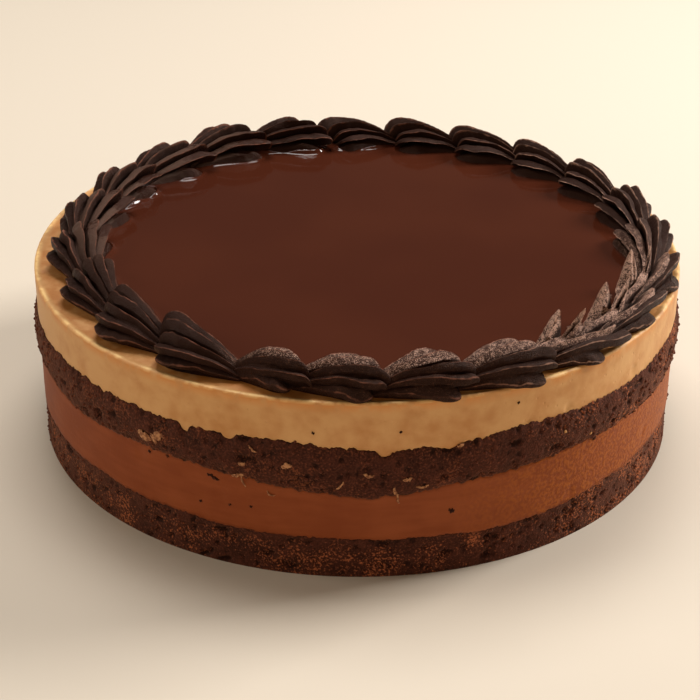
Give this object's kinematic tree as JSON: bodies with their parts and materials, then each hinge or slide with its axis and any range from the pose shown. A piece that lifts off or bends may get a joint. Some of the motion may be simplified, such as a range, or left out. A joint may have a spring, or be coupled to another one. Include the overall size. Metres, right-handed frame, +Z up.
{
  "type": "mocha cake",
  "caption": "Round layer cake: dark sponges with chocolate mousse and mocha cream between them, a glossy chocolate glaze and a border of piped ganache shells.",
  "frame": {"origin": "centre of the cake's base, on the surface it stands on", "axes": "+Z up the cake's axis, +X to the right and +Y to the back as the picture shows it"},
  "size_m": [0.2314, 0.2315, 0.0789],
  "materials": {
    "sponge": "dark crumb",
    "mousse": "smooth matte",
    "mocha_cream": "smooth satin",
    "glaze": "mirror gloss",
    "ganache": "satin, piped"
  },
  "bodies": {
    "root": {"sponge_lower": "sponge", "mousse": "mousse", "sponge_upper": "sponge", "mocha_cream": "mocha_cream", "glaze": "glaze", "shell_right_01": "ganache", "shell_right_02": "ganache", "shell_right_03": "ganache", "shell_right_04": "ganache", "shell_right_05": "ganache", "shell_right_06": "ganache", "shell_right_07": "ganache", "shell_right_08": "ganache", "shell_right_09": "ganache", "shell_right_10": "ganache", "shell_right_11": "ganache", "shell_right_12": "ganache", "shell_right_13": "ganache", "shell_right_14": "ganache", "shell_left_01": "ganache", "shell_left_02": "ganache", "shell_left_03": "ganache", "shell_left_04": "ganache", "shell_left_05": "ganache", "shell_left_06": "ganache", "shell_left_07": "ganache", "shell_left_08": "ganache", "shell_left_09": "ganache"}
  },
  "joints": []
}
